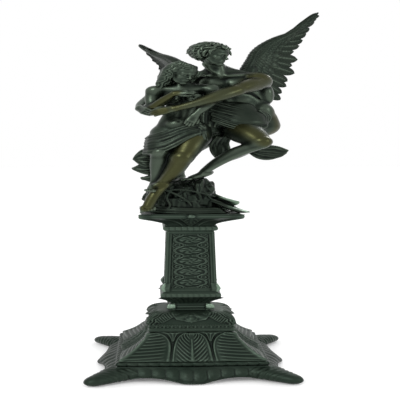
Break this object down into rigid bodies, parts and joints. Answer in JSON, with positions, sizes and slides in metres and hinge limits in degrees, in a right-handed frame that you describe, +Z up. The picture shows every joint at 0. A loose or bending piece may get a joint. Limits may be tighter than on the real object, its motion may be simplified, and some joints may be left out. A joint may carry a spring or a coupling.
{
  "type": "bronze angel sculpture",
  "caption": "Patinated bronze group of a winged youth embracing a maiden on a rock, on a square tapering column pedestal with scrollwork, leaves and horned feet.",
  "frame": {"origin": "on the ground, under the middle of the whole work's bounding box; the pedestal's axis stands 16.7 mm to its left, at x = -0.0167, and y = 0", "axes": "+Z up and parallel to the pedestal's axis, -Y towards the front that the figures face, +X to the viewer's right, where the left wing spreads"},
  "size_m": [0.293, 0.2596, 0.8836],
  "materials": {
    "group_bronze": "dark green-black patina, rubbed to brown bronze on the arm, knee and leg",
    "pedestal_bronze": "green-black patina with paler verdigris on the raised edges"
  },
  "bodies": {
    "root": {"base": "pedestal_bronze", "column": "pedestal_bronze", "angel_group": "group_bronze"}
  },
  "joints": []
}
